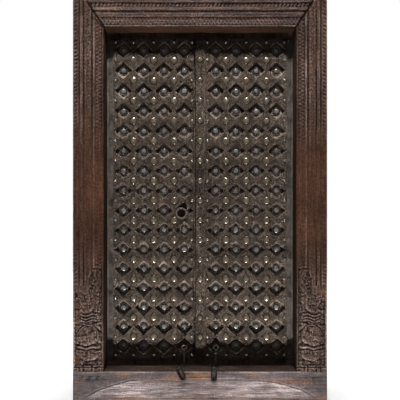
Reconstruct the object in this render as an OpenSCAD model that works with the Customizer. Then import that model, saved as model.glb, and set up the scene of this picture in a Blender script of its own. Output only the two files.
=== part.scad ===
// Carved double temple door with its frame

/* [Frame] */
// Overall width of the frame
frame_w = 1330; // [1250:10:1430]
// Overall height of the frame
frame_h = 2100; // [1960:10:2240]
// Width of each jamb on the face
jamb_w = 161; // [158:1:172]
// Depth of the jambs and the head
frame_d = 108; // [96:1:120]
// Height of the head on the face
head_h = 144; // [138:1:156]
// Height of the threshold
sill_h = 152; // [136:1:170]
// Depth of the threshold from front to back
sill_d = 220; // [200:1:260]
// Distance from the outer edge at which the mitre meets the top
mitre_in = 66; // [56:1:80]
// Width of the open crack along the mitre
crack_w = 4; // [2:0.5:6]
// Depth of the open crack along the mitre
crack_d = 12; // [8:1:30]
// Depth of the mouldings and of the carved ground
carve_d = 7; // [5:0.5:9]
// Depth of the worn hollow at the foot of the threshold
worn_d = 9; // [5:0.5:12]
// Spacing of the chip-carved notches along the mouldings
notch_pitch = 20; // [16:0.5:30]
// Width of a chip-carved notch
notch_w = 7; // [5:0.5:9]

/* [Leaves] */
// Thickness of the planks and the pivot posts
plank_t = 40; // [34:1:46]
// Width of a pivot post
post_w = 100; // [90:1:120]
// Place of the joint between the leaves, left of the middle
split_x = 30; // [26:1:34]
// Open gap between the two leaves
leaf_gap = 5; // [4:0.5:7]
// Gap between the rear tongue of the left leaf and the right leaf
tongue_gap = 0.7; // [0.6:0.05:1]
// Gap between a leaf and the frame or the threshold
run_gap = 4; // [3:0.5:6]
// Gap between the back of the frame and the planks
back_gap = 2; // [1.5:0.5:4]
// How far a leaf reaches behind the head
head_lap = 24; // [18:1:30]
// Distance of the pivot behind the edge of the jamb
pivot_in = 5; // [3:0.5:8]
// Width of the meeting strip
strip_w = 56; // [50:1:60]
// Thickness of the meeting strip
strip_t = 34; // [28:1:40]
// Height of a batten
batten_h = 100; // [80:1:120]
// Thickness of a batten
batten_t = 36; // [28:1:42]

/* [Lattice] */
// Thickness of the pierced lattice
lattice_t = 20; // [16:1:24]
// Width of the wood between two recesses
bridge_w = 16; // [12:0.5:20]
// How far the middle rows sit below even spacing
row_sag = 14; // [0:1:16]
// Width of the iron edge strap
strap_w = 29; // [25:1:32]
// Thickness of the iron edge strap
strap_t = 4; // [3:0.5:6]
// Radius of a nail in a recess
nail_r = 16; // [14:0.5:18]
// Height of a nail in a recess
nail_h = 8; // [6:0.5:11]
// Radius of the dished washer under a recess nail
dish_r = 23.5; // [22:0.5:26]
// Height of the rim of the dished washer
dish_h = 4.5; // [3:0.5:6]
// Radius of a boss on a raised diamond
boss_r = 20.5; // [16:0.5:22]
// Height of a boss on a raised diamond
boss_h = 9; // [7:0.5:14]

/* [Ironwork] */
// Radius of the pivot pins
pin_r = 12; // [10:0.5:13]
// Running clearance of a pivot pin, on the radius
pin_fit = 0.05; // [0.02:0.01:0.1]
// Radius of the wire of eyes, links and rings
wire_r = 3; // [2.6:0.1:3.2]
// Length of a long ring
ring_l = 77; // [66:1:84]
// Radius of the lock collar
collar_r = 33; // [30:0.5:36]
// Gap between the lock collar and the boss beside it
collar_gap = 1.6; // [1:0.1:4]
// Radius of a stud on the meeting strip
stud_r = 17; // [13:0.5:19]
// Height of a stud on the meeting strip
stud_h = 9; // [7:0.5:12]

/* [Hidden] */
$fn = 64;
front_y = -frame_d - back_gap;
back_y = -back_gap;
open_x = frame_w / 2 - jamb_w;
open_z = frame_h - head_h;
pivot_x = open_x + pivot_in;
axis_y = plank_t / 2;
leaf_bot = sill_h + run_gap;
leaf_top = open_z + head_lap;
left_edge = -split_x - leaf_gap / 2;
right_edge = -split_x + leaf_gap / 2;
strip_in = right_edge + strip_w;
strap_out = open_x - run_gap - 1;
field_out = strap_out - strap_w;
field_bot = sill_h + 38;
field_top = open_z - 33;
cols = 4;
rows = 16;
field_in = (strip_in - left_edge) / 2;
col_pitch = (field_out - field_in) / cols;
row_first = field_bot + 70;
row_pitch = (field_top - 61 - row_first) / (rows - 1);
pocket_x = col_pitch / 2 - bridge_w / 2;
pocket_z = row_pitch / 2 - bridge_w / 2;
lock_row = 7;
lug_w = 100;
lug_h = 80;
lug_d = 72;
peg_r = 8;
peg_fit = 0.1;
socket_r = 26;
socket_h = 40;
tenon_w = 60;
tenon_d = 36;
tenon_h = 60;
tenon_fit = 0.5;
eye_r = 13;
eye_y = -lattice_t - 16;
link_r = 2 * wire_r + 0.4;
staple_r = 14;
staple_y = front_y - 6;
staple_z = sill_h + 32;
ring_r = 12;
ring_tilt = 28;
left_ring_x = -112;
right_ring_x = 73;
edge_nail_r = 8.5;
edge_nail_h = 6;
strap_nail_r = 5;
collar_hole = collar_r - 11;
strip_low = 32;
strip_high = 12;
batten_end = 110;
foot_top = 545;
foot_shoulder = 452;
notch_d = 4;
notch_slant = 32;

// Places of the columns and rows of recesses, where half numbers are the raised diamonds
function col_x(i) = field_out - col_pitch * (i + 0.5);
function row_z(k) = row_first + k * row_pitch - row_sag * 4 * k * (rows - 1 - k) / pow(rows - 1, 2);
function leaf_in(side) = side < 0 ? -left_edge : strip_in;
function free_edge(side) = side < 0 ? -left_edge : right_edge;
function plank_step(side) = (pivot_x + axis_y - post_w - free_edge(side)) / 2;
function batten_z(i) = leaf_bot + batten_end + (leaf_top - leaf_bot - 2 * batten_end) * i / 4;
function collar_way() = [col_pitch / 2, row_z(lock_row) - row_z(lock_row - 0.5)];
function collar_at() = [-col_x(cols - 1.5), row_z(lock_row - 0.5)]
  + collar_way() * (collar_r + boss_r + collar_gap) / norm(collar_way());
function is_eye(i, k) = i == cols - 1 && k == 0;
function is_lock(side, i, k) = side < 0 && i == cols - 1 && k == lock_row;

// Spherical head with its flat at y 0, facing the front
module dome(r, h) {
  ball = (r * r + h * h) / (2 * h);
  rotate([90, 0, 0])
    intersection() {
      translate([0, 0, h - ball]) sphere(ball);
      translate([-r - 1, -r - 1, 0]) cube([2 * r + 2, 2 * r + 2, h + 1]);
    }
}

// Long closed loop of wire hanging down from its upper end in the plane of x and z
module loop_wire(r, span, wire) {
  for (x = [-r, r])
    translate([x, 0, -span]) cylinder(r = wire, h = span);
  rotate([90, 0, 0]) rotate_extrude(angle = 180) translate([r, 0]) circle(wire);
  translate([0, 0, -span]) rotate([-90, 0, 0]) rotate_extrude(angle = 180) translate([r, 0]) circle(wire);
}

// Cross-section of a jamb, with x from its outer edge and y at its front
module jamb_section() {
  d = carve_d;
  polygon([[0, frame_d], [0, 2], [2, 0], [26, 0], [29, d * 0.6], [35, d * 0.6], [38, 1], [41, 0], [46, 0],
    [49, 1], [51, d * 0.8], [59, d * 0.8], [63, 2], [68, 2], [90, 2], [95, d * 0.7], [103, d * 0.7],
    [106, 0], [113, 0], [116, 3], [jamb_w - 10, 3], [jamb_w - 6, 0.5], [jamb_w - 2, 0.5],
    [jamb_w, 3], [jamb_w, frame_d]]);
}

// Cross-section of the head, with x down from its top and y at its front
module head_section() {
  d = carve_d;
  polygon([[0, frame_d], [0, 2], [2, 0], [14, 0], [18, d * 0.7], [40, d * 0.7], [45, 0], [56, 0],
    [59, d * 0.7], [68, d * 0.7], [72, 1], [89, 1], [94, d * 0.7], [106, d * 0.7], [110, 3],
    [head_h - 9, 3], [head_h - 6, 0.5], [head_h - 2, 0.5], [head_h, 3], [head_h, frame_d]]);
}

// Front outline of the head between the mitres, grown by a margin at the ends
module head_outline(grow) {
  polygon([[-open_x - grow, open_z], [open_x + grow, open_z],
    [frame_w / 2 - mitre_in + grow, frame_h], [-frame_w / 2 + mitre_in - grow, frame_h]]);
}

// Prism through the frame from a front outline, between two depths
module through(y0, y1) {
  translate([0, y1, 0]) rotate([90, 0, 0]) linear_extrude(y1 - y0) children();
}

// Pointed leaf along x from the origin
module leaf_shape(length, width) {
  r = (length * length / 4 + width * width / 4) / width;
  translate([length / 2, 0])
    intersection() {
      translate([0, width / 2 - r]) circle(r);
      translate([0, r - width / 2]) circle(r);
    }
}

// Ground of the carving at the foot of a jamb, x from the outer edge and y up from the threshold
module foot_ground() {
  polygon([[9, 30], [152, 30], [152, foot_top], [104, foot_top], [64, foot_shoulder], [9, foot_shoulder]]);
}

// Bowl, vase, bands and leaves that stand up from the ground
module foot_relief() {
  intersection() {
    translate([80, 134]) circle(78);
    translate([9, 46]) square([143, 66]);
  }
  translate([24, 118]) square([113, 12]);
  difference() {
    translate([80, 190]) circle(56);
    translate([20, 130]) square([120, 6]);
  }
  translate([34, 258]) square([95, 10]);
  translate([42, 274]) square([79, 9]);
  translate([34, 290]) square([95, 12]);
  for (a = [62, 118])
    translate([80, 306]) rotate(a) leaf_shape(128, 38);
  translate([80, 306]) rotate(90) leaf_shape(104, 30);
  difference() {
    translate([52, 470]) circle(96);
    translate([32, 476]) circle(84);
    translate([-60, 360]) square([120, 220]);
    translate([60, 536]) square([100, 40]);
  }
  difference() {
    translate([124, 515]) circle(24);
    translate([124, 515]) circle(15);
  }
  translate([124, 515]) circle(7);
}

// Second, higher tier of the carving
module foot_tier() {
  for (a = [38, 64, 90, 116, 142])
    translate([80, 52]) rotate(a) translate([6, 0]) leaf_shape(56, 18);
  for (a = [30, 60, 90, 120, 150])
    translate([80, 146]) rotate(a) translate([14, 0]) leaf_shape(66, 20);
}

// Row of slanted chip-carved notches along z, cut into a face at the given level of y
module notch_row(x, level, low, high, slant, wide) {
  count = floor((high - low) / notch_pitch);
  for (i = [0 : count - 1])
    translate([x, level, low + (i + 0.5) * notch_pitch])
      rotate([0, slant, 0]) cube([wide, 2 * notch_d, notch_w], center = true);
}

// Jamb of the left side, with the mouldings, the carved foot and the stub tenon
module jamb_body() {
  translate([-frame_w / 2, front_y, sill_h]) {
    difference() {
      linear_extrude(frame_h - sill_h) jamb_section();
      through(-1, carve_d + 1) foot_ground();
      through(-1, 4) translate([-1, 20]) square([jamb_w + 2, 5]);
      notch_row(14, 0, foot_shoulder + 8, frame_h - sill_h - 8, -notch_slant, 17);
      notch_row(55, carve_d * 0.8, foot_shoulder + 8, frame_h - sill_h - 8, notch_slant, 9);
      notch_row(99, carve_d * 0.7, foot_top + 8, open_z - sill_h + 30, 0, 7);
    }
    through(2.5, carve_d + 2)
      intersection() {
        foot_relief();
        foot_ground();
      }
    through(0, 3)
      intersection() {
        foot_tier();
        foot_ground();
      }
    translate([jamb_w / 2 - tenon_w / 2, frame_d / 2 - tenon_d / 2, -tenon_h])
      cube([tenon_w, tenon_d, tenon_h + 1]);
  }
}

// Jamb of the left side, cut to the mitre and bored for the lug's pegs
module jamb_cut() {
  difference() {
    jamb_body();
    through(front_y - 1, back_y + 1) head_outline(0);
    through(front_y - 1, front_y + crack_d) head_outline(crack_w / 2);
  }
}

module left_jamb() {
  color("#4b362c") jamb_cut();
}

module right_jamb() {
  color("#4b362c") mirror([1, 0, 0]) jamb_cut();
}

module peg_places() {
  for (side = [-1, 1])
    for (dx = [-33, 26])
      translate([side * (pivot_x + dx), 0, leaf_top + run_gap + lug_h / 2]) children();
}

module head() {
  color("#4e403c")
    difference() {
      intersection() {
        translate([-frame_w / 2, front_y, frame_h]) rotate([0, 90, 0]) linear_extrude(frame_w) head_section();
        through(front_y - 1, back_y + 1) head_outline(0);
      }
      for (row = [[29, 15, notch_slant], [63, 7, 0], [100, 9, -notch_slant]])
        translate([-open_x, front_y, frame_h]) rotate([0, 90, 0])
          notch_row(row[0], carve_d * 0.7, 10 - (head_h - row[0]) * 0.5,
            2 * open_x - 10 + (head_h - row[0]) * 0.5, row[2], row[1]);
      difference() {
        through(front_y - 1, front_y + crack_d) head_outline(20);
        through(front_y - 2, front_y + crack_d + 1) head_outline(-crack_w / 2);
      }
      peg_places() translate([0, back_y - 40, 0]) rotate([-90, 0, 0]) cylinder(r = peg_r + peg_fit, h = 60);
    }
}

// Worn hollow under an arc on the front of the threshold
module worn_cut() {
  rise = sill_h - 18;
  reach = frame_w / 2 - 50;
  arc_r = (reach * reach + rise * rise) / (2 * rise);
  intersection() {
    translate([0, front_y + 40, rise - arc_r]) rotate([90, 0, 0]) cylinder(r = arc_r, h = 80, $fn = 200);
    translate([-frame_w / 2, 0, 0]) rotate([90, 0, 90])
      linear_extrude(frame_w)
        polygon([[front_y - 5, -1], [front_y + worn_d, -1], [front_y + 1.5, rise + 1], [front_y - 5, rise + 1]]);
  }
}

module threshold() {
  color("#8a7a72")
    difference() {
      translate([-frame_w / 2, front_y, 0]) cube([frame_w, sill_d, sill_h]);
      worn_cut();
      for (side = [-1, 1]) {
        translate([side * pivot_x, axis_y, sill_h - socket_h]) cylinder(r = socket_r + peg_fit, h = socket_h + 1);
        translate([side * (frame_w / 2 - jamb_w / 2), front_y + frame_d / 2, sill_h - tenon_h / 2])
          cube([tenon_w + 2 * tenon_fit, tenon_d + 2 * tenon_fit, tenon_h + 2 * tenon_fit], center = true);
      }
      for (x = [left_ring_x, right_ring_x])
        translate([x, staple_y + staple_r, sill_h - 30]) cylinder(r = wire_r + 0.5, h = 31);
    }
}

// Wooden lug behind the head that holds an upper pivot
module lug(side) {
  z0 = leaf_top + run_gap;
  color("#4a3a30")
    difference() {
      translate([side * pivot_x - lug_w / 2, back_y, z0]) cube([lug_w, lug_d, lug_h]);
      translate([side * pivot_x, axis_y, z0 - 1]) cylinder(r = pin_r + pin_fit, h = lug_h + 2);
      peg_places() translate([0, back_y - 1, 0]) rotate([-90, 0, 0]) cylinder(r = peg_r + peg_fit, h = lug_d + 2);
    }
}

module left_lug() {
  lug(-1);
}

module right_lug() {
  lug(1);
}

module lug_pegs() {
  color("#5a4636")
    peg_places() translate([0, back_y - 40, 0]) rotate([-90, 0, 0]) cylinder(r = peg_r, h = lug_d + 46);
}

// Iron cup in the threshold that carries a lower pivot
module socket(side) {
  color("#3a3836")
    translate([side * pivot_x, axis_y, sill_h - socket_h])
      difference() {
        cylinder(r = socket_r, h = socket_h);
        translate([0, 0, 10]) cylinder(r = pin_r + pin_fit, h = socket_h);
      }
}

module left_socket() {
  socket(-1);
}

module right_socket() {
  socket(1);
}

// Eye staple that stands at the front edge of the threshold
module staple(x) {
  color("#2e2c2b") {
    translate([x, staple_y + staple_r, sill_h - 30]) cylinder(r = wire_r + 0.5, h = staple_z - sill_h + 30);
    translate([x, staple_y, staple_z]) rotate([0, 90, 0])
      rotate_extrude() translate([staple_r, 0]) circle(wire_r);
  }
}

module left_staple() {
  staple(left_ring_x);
}

module right_staple() {
  staple(right_ring_x);
}

// Pivot post with its outer edge rounded about the pivot
module post(side) {
  inner = pivot_x + axis_y - post_w;
  color("#54453a")
    difference() {
      translate([0, 0, leaf_bot])
        linear_extrude(leaf_top - leaf_bot) {
          translate([side > 0 ? inner : -pivot_x, 0]) square([pivot_x - inner, plank_t]);
          translate([side * pivot_x, axis_y]) circle(axis_y);
        }
      translate([side * pivot_x, axis_y, leaf_bot - 1]) cylinder(r = pin_r, h = 81);
      translate([side * pivot_x, axis_y, leaf_top - 80]) cylinder(r = pin_r, h = 81);
    }
}

module left_post() {
  post(-1);
}

module right_post() {
  post(1);
}

module top_pin(side) {
  color("#3a3836")
    translate([side * pivot_x, axis_y, leaf_top - 80]) cylinder(r = pin_r, h = 80 + run_gap + lug_h - 14);
}

module bottom_pin(side) {
  color("#3a3836")
    translate([side * pivot_x, axis_y, sill_h - socket_h + 10.3])
      cylinder(r = pin_r, h = leaf_bot + 80 - (sill_h - socket_h + 10.3));
}

module left_top_pin() {
  top_pin(-1);
}

module right_top_pin() {
  top_pin(1);
}

module left_bottom_pin() {
  bottom_pin(-1);
}

module right_bottom_pin() {
  bottom_pin(1);
}

// Plank of a leaf, counted from the free edge
module plank(side, i) {
  step = plank_step(side);
  x0 = free_edge(side) + i * step;
  color("#54493f")
    translate([side > 0 ? x0 : -x0 - step, 0, leaf_bot]) cube([step, plank_t, leaf_top - leaf_bot]);
}

// Round bore behind the collar
module lock_bore() {
  translate([collar_at()[0], -lattice_t - 1, collar_at()[1]])
    rotate([-90, 0, 0]) cylinder(r = collar_hole - 5, h = lattice_t + 26);
}

// Tongue on the rear half of the left leaf's edge, which darkens the joint and swings clear of the right leaf
module rear_tongue() {
  color("#54493f")
    translate([left_edge - 1, axis_y, leaf_bot])
      cube([leaf_gap - tongue_gap + 1, plank_t - axis_y, leaf_top - leaf_bot]);
}

module left_plank_1() {
  difference() {
    plank(-1, 0);
    lock_bore();
  }
  rear_tongue();
}

module left_plank_2() {
  plank(-1, 1);
}

module right_plank_1() {
  plank(1, 0);
}

module right_plank_2() {
  plank(1, 1);
}

// Batten across the back of a leaf
module batten(side, i) {
  outer = pivot_x - 30;
  inner = free_edge(side) + 10;
  color("#5b4a3c")
    translate([side > 0 ? inner : -outer, plank_t, batten_z(i) - batten_h / 2])
      cube([outer - inner, batten_t, batten_h]);
}

module left_batten_1() {
  batten(-1, 0);
}

module left_batten_2() {
  batten(-1, 1);
}

module left_batten_3() {
  batten(-1, 2);
}

module left_batten_4() {
  batten(-1, 3);
}

module left_batten_5() {
  batten(-1, 4);
}

module right_batten_1() {
  batten(1, 0);
}

module right_batten_2() {
  batten(1, 1);
}

module right_batten_3() {
  batten(1, 2);
}

module right_batten_4() {
  batten(1, 3);
}

module right_batten_5() {
  batten(1, 4);
}

// Nails on the back of the battens
module batten_nails(side) {
  step = plank_step(side);
  color("#3a3836")
    for (i = [0 : 4])
      for (x = [pivot_x - 52, free_edge(side) + step * 1.5, free_edge(side) + step * 0.5])
        for (dz = [-batten_h / 4, batten_h / 4])
          translate([side * x, plank_t + batten_t, batten_z(i) + dz]) rotate([0, 0, 180]) dome(9, 4);
}

module left_batten_nails() {
  batten_nails(-1);
}

module right_batten_nails() {
  batten_nails(1);
}

// Pierced lattice of one leaf
module lattice(side) {
  color("#57504a")
    through(-lattice_t, 0)
      difference() {
        translate([side > 0 ? leaf_in(side) : -field_out, field_bot])
          square([field_out - leaf_in(side), field_top - field_bot]);
        for (i = [0 : cols - 1])
          for (k = [0 : rows - 1])
            translate([side * col_x(i), row_z(k)])
              polygon([[-pocket_x, 0], [0, -pocket_z], [pocket_x, 0], [0, pocket_z]]);
      }
}

module left_lattice() {
  difference() {
    lattice(-1);
    translate([collar_at()[0], -lattice_t - 1, collar_at()[1]])
      rotate([-90, 0, 0]) cylinder(r = collar_hole + 4 + peg_fit, h = lattice_t + 2);
  }
}

module right_lattice() {
  lattice(1);
}

module edge_strap(side) {
  color("#565752")
    translate([side > 0 ? field_out : -strap_out, -strap_t, field_bot])
      cube([strap_w, strap_t, field_top - field_bot]);
}

module left_edge_strap() {
  edge_strap(-1);
}

module right_edge_strap() {
  edge_strap(1);
}

module strap_nails(side) {
  color("#45443f")
    for (k = [0 : rows])
      translate([side * (field_out + strap_w / 2), -strap_t, row_z(k - 0.5)]) dome(strap_nail_r, 3.5);
}

module left_strap_nails() {
  strap_nails(-1);
}

module right_strap_nails() {
  strap_nails(1);
}

// Domed nail in a washer that is dished up round it
module dished_nail() {
  dome(nail_r, nail_h);
  rotate([90, 0, 0])
    rotate_extrude()
      polygon([[0, 0], [dish_r, 0], [dish_r - 0.5, dish_h], [dish_r - 2, dish_h], [nail_r - 0.5, 1], [0, 1]]);
}

// Nails in the recesses, left out where the eye and the collar sit
module recess_nails(side) {
  color("#6a6864")
    for (i = [0 : cols - 1])
      for (k = [0 : rows - 1])
        if (!is_eye(i, k) && !is_lock(side, i, k))
          translate([side * col_x(i), 0, row_z(k)]) dished_nail();
}

module left_recess_nails() {
  recess_nails(-1);
}

module right_recess_nails() {
  recess_nails(1);
}

// Large bosses on the raised diamonds
module bosses(side) {
  color("#6b5f45")
    for (i = [0 : cols - 2])
      for (k = [0 : rows - 2])
        translate([side * col_x(i + 0.5), -lattice_t, row_z(k + 0.5)]) dome(boss_r, boss_h);
}

module left_bosses() {
  bosses(-1);
}

module right_bosses() {
  bosses(1);
}

// Small nails round the edge of a lattice
module edge_nails(side) {
  outer = field_out - 13;
  inner = leaf_in(side) + 11;
  color("#5d5a52") {
    for (k = [0 : rows - 2])
      for (x = [outer, inner])
        translate([side * x, -lattice_t, row_z(k + 0.5)]) dome(edge_nail_r, edge_nail_h);
    for (z = [field_bot + 20, field_top - 20])
      for (x = [outer, col_x(0.5), col_x(1.5), col_x(2.5), inner])
        translate([side * x, -lattice_t, z]) dome(edge_nail_r, edge_nail_h);
  }
}

module left_edge_nails() {
  edge_nails(-1);
}

module right_edge_nails() {
  edge_nails(1);
}

// Raised round collar with its sleeve through the lattice
module lock_collar() {
  color("#3d3b39")
    translate([collar_at()[0], 0, collar_at()[1]])
      rotate([90, 0, 0])
        rotate_extrude()
          polygon([[collar_hole, 0], [collar_hole + 4, 0], [collar_hole + 4, lattice_t], [collar_r, lattice_t],
            [collar_r, lattice_t + 5], [collar_r - 3, lattice_t + 10], [collar_hole + 2, lattice_t + 10],
            [collar_hole, lattice_t + 7]]);
}

// Chain eye in the bottom recess next to the middle
module eye(side, tilt) {
  color("#2e2c2b")
    translate([side * col_x(cols - 1), eye_y, row_z(0) - 4])
      rotate([0, tilt, 0]) {
        rotate([90, 0, 0]) rotate_extrude() translate([eye_r, 0]) circle(wire_r);
        for (x = [-eye_r, eye_r])
          translate([x, 0, 0]) rotate([-90, 0, 0]) cylinder(r = wire_r * 0.9, h = -eye_y);
      }
}

module left_eye() {
  eye(-1, 28);
}

module right_eye() {
  eye(1, 0);
}

// Link that hangs in a chain eye, edge on to the front
module link(side) {
  top = row_z(0) - 4 - eye_r;
  color("#2e2c2b")
    translate([side * col_x(cols - 1), eye_y, top])
      rotate([0, 0, 90]) loop_wire(link_r, top - sill_h - 8 - link_r - wire_r, wire_r - 0.2);
}

module left_link() {
  link(-1);
}

module right_link() {
  link(1);
}

// Long ring that hangs in a staple of the threshold
module ring(x, tilt) {
  top = staple_z - staple_r + 2 * wire_r + 0.4;
  color("#2e2c2b")
    translate([x, staple_y, top - ring_r])
      rotate([0, -tilt, 0])
        loop_wire(ring_r, ring_l - 2 * ring_r - 2 * wire_r, wire_r);
}

module left_ring() {
  ring(left_ring_x, ring_tilt);
}

module right_ring() {
  ring(right_ring_x, 0);
}

// Strip on the right leaf that covers the joint
module meeting_strip() {
  color("#585049")
    translate([right_edge, 0, field_bot + strip_low])
      rotate([90, 0, 0])
        linear_extrude(strip_t)
          square([strip_w, field_top - field_bot - strip_low - strip_high]);
}

module meeting_studs() {
  color("#6b5f45")
    for (k = [0 : rows - 2])
      translate([right_edge + strip_w / 2, -strip_t, row_z(k + 0.5)]) dome(stud_r, stud_h);
}

left_jamb();
right_jamb();
head();
threshold();
left_lug();
right_lug();
lug_pegs();
left_socket();
right_socket();
left_staple();
right_staple();
left_post();
left_plank_1();
left_plank_2();
left_top_pin();
left_bottom_pin();
left_batten_1();
left_batten_2();
left_batten_3();
left_batten_4();
left_batten_5();
left_batten_nails();
left_lattice();
left_edge_strap();
left_strap_nails();
left_recess_nails();
left_bosses();
left_edge_nails();
lock_collar();
left_eye();
left_link();
right_post();
right_plank_1();
right_plank_2();
right_top_pin();
right_bottom_pin();
right_batten_1();
right_batten_2();
right_batten_3();
right_batten_4();
right_batten_5();
right_batten_nails();
right_lattice();
right_edge_strap();
right_strap_nails();
right_recess_nails();
right_bosses();
right_edge_nails();
meeting_strip();
meeting_studs();
right_eye();
right_link();
left_ring();
right_ring();
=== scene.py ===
import math

import bmesh
import bpy
import numpy as np
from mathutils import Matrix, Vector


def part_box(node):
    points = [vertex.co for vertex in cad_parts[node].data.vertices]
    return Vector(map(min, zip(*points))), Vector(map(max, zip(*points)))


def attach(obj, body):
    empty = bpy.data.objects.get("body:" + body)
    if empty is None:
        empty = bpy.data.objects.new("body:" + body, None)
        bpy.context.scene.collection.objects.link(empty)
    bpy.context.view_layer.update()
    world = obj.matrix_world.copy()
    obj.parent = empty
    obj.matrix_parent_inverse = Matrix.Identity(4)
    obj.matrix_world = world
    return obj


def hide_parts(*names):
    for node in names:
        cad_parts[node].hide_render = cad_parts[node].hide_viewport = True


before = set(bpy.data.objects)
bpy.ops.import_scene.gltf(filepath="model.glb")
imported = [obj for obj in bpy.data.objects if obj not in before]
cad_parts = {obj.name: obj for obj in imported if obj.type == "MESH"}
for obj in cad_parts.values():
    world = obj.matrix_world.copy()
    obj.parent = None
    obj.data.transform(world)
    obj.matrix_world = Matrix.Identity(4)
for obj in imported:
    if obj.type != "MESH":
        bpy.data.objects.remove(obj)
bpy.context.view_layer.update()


# Threshold
# One heavy squared timber that lies on the ground under both jambs, hewn with the adze.
# Feet and weather have worn its front hollow under a long arc, bare and silvery below that line.
# Its ends stay dark with old oil, and the jambs stand in it on stub tenons.

def reach_of(node):
    """Lowest and highest corner of a solid of the frame, in millimetres."""
    return [[round(1000 * value, 1) for value in corner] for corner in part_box(node)]


def uneven(across, along, lump, seed):
    """Hand-worked unevenness from -1 to 1 over a face, in lumps of about the given size in millimetres."""
    column, row = np.floor(across / lump), np.floor(along / lump)
    right, up = across / lump - column, along / lump - row
    right, up = right * right * (3 - 2 * right), up * up * (3 - 2 * up)

    def height(p, q):
        scattered = np.sin(p * 12.9898 + q * 78.233 + seed * 37.719) * 43758.5453
        return 2 * (scattered - np.floor(scattered)) - 1

    low = height(column, row) * (1 - right) + height(column + 1, row) * right
    high = height(column, row + 1) * (1 - right) + height(column + 1, row + 1) * right
    return low * (1 - up) + high * up


def ease(value, start, end):
    """Smooth step from 0 at start to 1 at end."""
    t = np.clip((value - start) / (end - start), 0, 1)
    return t * t * (3 - 2 * t)


def soft_hump(value, middle, width):
    """1 at the middle, fading to both sides over about the given width."""
    return np.exp(-((value - middle) / width) ** 2)


def spread(field, reach):
    """Mean of a field of depths over its neighbours, to find what is hollow and what stands proud."""
    for axis in (0, 1):
        field = sum(np.roll(field, k, axis) for k in range(-reach, reach + 1)) / (2 * reach + 1)
    return field


def beside_line(x, z, start, end):
    """Distance of each point of a face from a straight line between two places."""
    run_x, run_z = end[0] - start[0], end[1] - start[1]
    run = ((x - start[0]) * run_x + (z - start[1]) * run_z) / math.hypot(run_x, run_z) ** 2
    run = np.clip(run, 0, 1)
    return np.hypot(x - start[0] - run * run_x, z - start[1] - run * run_z)


def grid_faces(numbers):
    """Four-sided faces between the neighbours in a grid of point numbers."""
    ring = [numbers[:-1, :-1], numbers[:-1, 1:], numbers[1:, 1:], numbers[1:, :-1]]
    return np.stack(ring, -1).reshape(-1, 4)


def build(name, points, faces, tones, tone_place="POINT", crisp=48):
    """Makes a piece from points in millimetres, welded, turned outwards and shaded with crisp arrises.
    Tones are openness, rubbing and second colour, for each point or for each corner of a face; in places
    openness carries painted shade and rubbing a painted highlight."""
    mesh = bpy.data.meshes.new(name)
    mesh.from_pydata((points * 0.001).tolist(), [], faces)
    wear_and_painted_light = mesh.attributes.new("wear_and_painted_light", "FLOAT_COLOR", tone_place)
    full_tones = np.hstack([tones, np.ones((len(tones), 1))])
    wear_and_painted_light.data.foreach_set("color", full_tones.astype(np.float32).ravel())
    work = bmesh.new()
    work.from_mesh(mesh)
    bmesh.ops.remove_doubles(work, verts=work.verts, dist=1e-6)
    bmesh.ops.recalc_face_normals(work, faces=work.faces)
    work.to_mesh(mesh)
    work.free()
    mesh.polygons.foreach_set("use_smooth", np.ones(len(mesh.polygons), bool))
    mesh.set_sharp_from_angle(angle=math.radians(crisp))
    piece = bpy.data.objects.new(name, mesh)
    bpy.context.scene.collection.objects.link(piece)
    return piece


def close_timber(name, face, tone, corners, walls):
    """Closes a carved face, a grid of points in millimetres, with flat walls along its borders.
    Each wall is its point numbers and one plain tone."""
    quads = grid_faces(np.arange(face[..., 0].size).reshape(face.shape[:2]))
    points = np.vstack([face.reshape(-1, 3), np.array(corners, float)])
    rings = [[int(number) for number in ring] for ring, _ in walls]
    plain = [np.tile(wall_tone, (len(ring), 1)) for ring, wall_tone in walls]
    tones = np.vstack([tone.reshape(-1, 3)[quads.ravel()]] + plain)
    return build(name, points, quads.tolist() + rings, tones, "CORNER")


def close_beam(name, face, tone, back, under, end, top):
    """Closes a carved face into a squared timber, with the tones of its underside, ends and back, and top."""
    n = np.arange(face[..., 0].size).reshape(face.shape[:2])
    (left, _, low), (right, _, high) = face[0, 0], face[-1, -1]
    corners = [(left, back, low), (right, back, low), (right, back, high), (left, back, high)]
    a, b, c, d = range(n.size, n.size + 4)
    walls = [([*n[0, :], b, a], under), ([*n[:, -1], c, b], end), ([*n[-1, ::-1], d, c], top),
             ([*n[::-1, 0], a, d], end), ([a, b, c, d], end)]
    return close_timber(name, face, tone, corners, walls)


def lay(tree, kind, feeds=(), **settings):
    """Puts one node into a finish, with its settings and what feeds each of its sockets."""
    node = tree.nodes.new("ShaderNode" + kind)
    for key, value in settings.items():
        setattr(node, key, value)
    for socket, value in dict(feeds).items():
        if isinstance(value, bpy.types.NodeSocket):
            tree.links.new(value, node.inputs[socket])
        else:
            node.inputs[socket].default_value = value
    return node


def join(tree, node, feeds):
    """Links values to the named sockets of a node."""
    for label, value in feeds.items():
        tree.links.new(value, node.inputs[label])


def blend_tone(tree, factor, under, over, way="MIX"):
    """Lays one colour over another. The node keeps its two colours in sockets 6 and 7, and gives out in 2."""
    return lay(tree, "Mix", {0: factor, 6: under, 7: over}, data_type="RGBA", blend_type=way).outputs[2]


def remap(tree, value, low, high, to_low, to_high):
    """Stretches a value from one range to another."""
    return lay(tree, "MapRange", {0: value, 1: low, 2: high, 3: to_low, 4: to_high}).outputs[0]


def reckon(tree, way, *values):
    """Adds, multiplies or compares values."""
    return lay(tree, "Math", dict(enumerate(values)), operation=way).outputs[0]


def cloud(tree, place, scale, detail, rough=0.5, warp=0.0):
    """Cloudy noise from 0 to 1."""
    feeds = {"Vector": place, "Scale": scale, "Detail": detail, "Roughness": rough, "Distortion": warp}
    return lay(tree, "TexNoise", feeds).outputs[0]


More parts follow.
